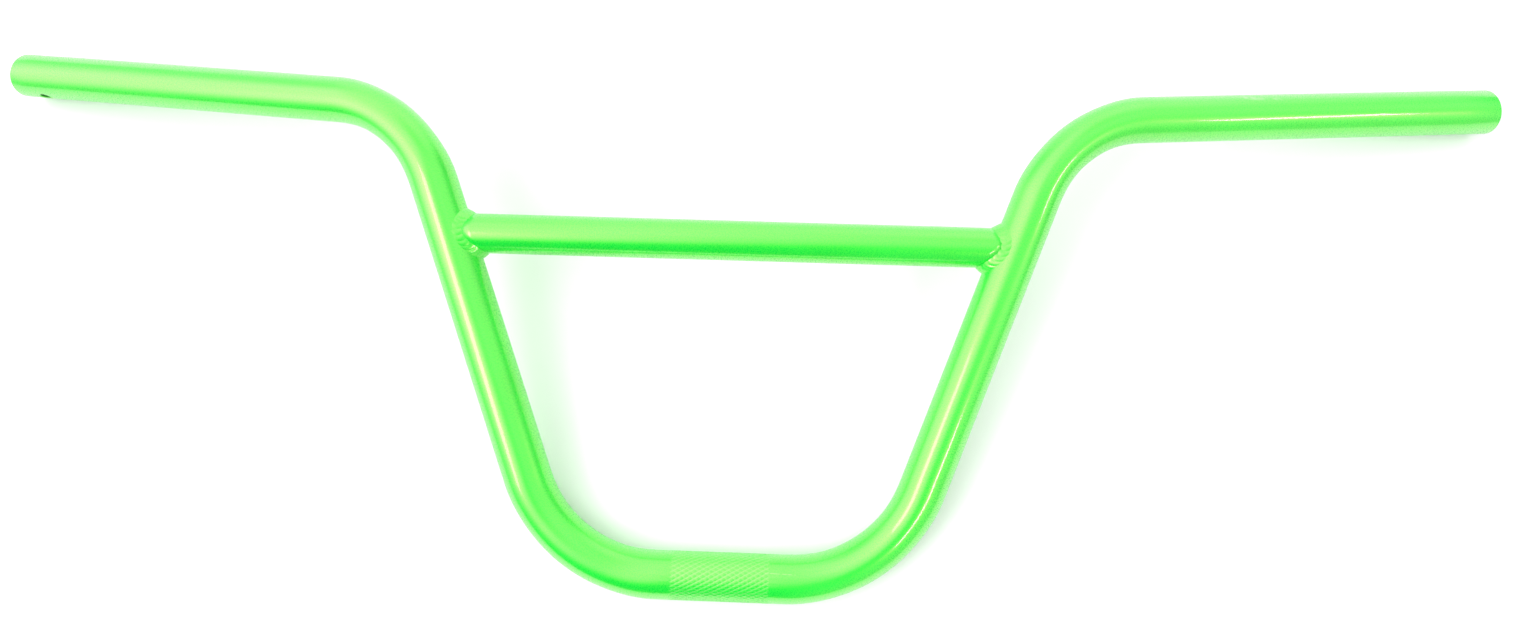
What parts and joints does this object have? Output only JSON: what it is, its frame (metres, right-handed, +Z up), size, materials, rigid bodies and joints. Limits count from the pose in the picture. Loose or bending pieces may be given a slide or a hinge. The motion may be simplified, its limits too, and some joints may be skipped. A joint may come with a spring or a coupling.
{
  "type": "bmx handlebar",
  "caption": "Bent steel handlebar with high rise, a welded crossbar between its uprights, a knurled clamp run and open swept-back grip ends, lying on its back.",
  "frame": {"origin": "centre of the clamp run, on its axis", "axes": "+X along the clamp run, to the right as seen from the front, +Y from the clamp toward the crossbar and grips, +Z up out of the bar's front as it lies on its back"},
  "size_m": [0.7632, 0.2615, 0.0576],
  "materials": {
    "paint": "gloss fluorescent green with a fine pearl"
  },
  "bodies": {
    "root": {"main_tube": "paint", "crossbar": "paint", "weld_bead_left": "paint", "weld_bead_right": "paint"}
  },
  "joints": []
}
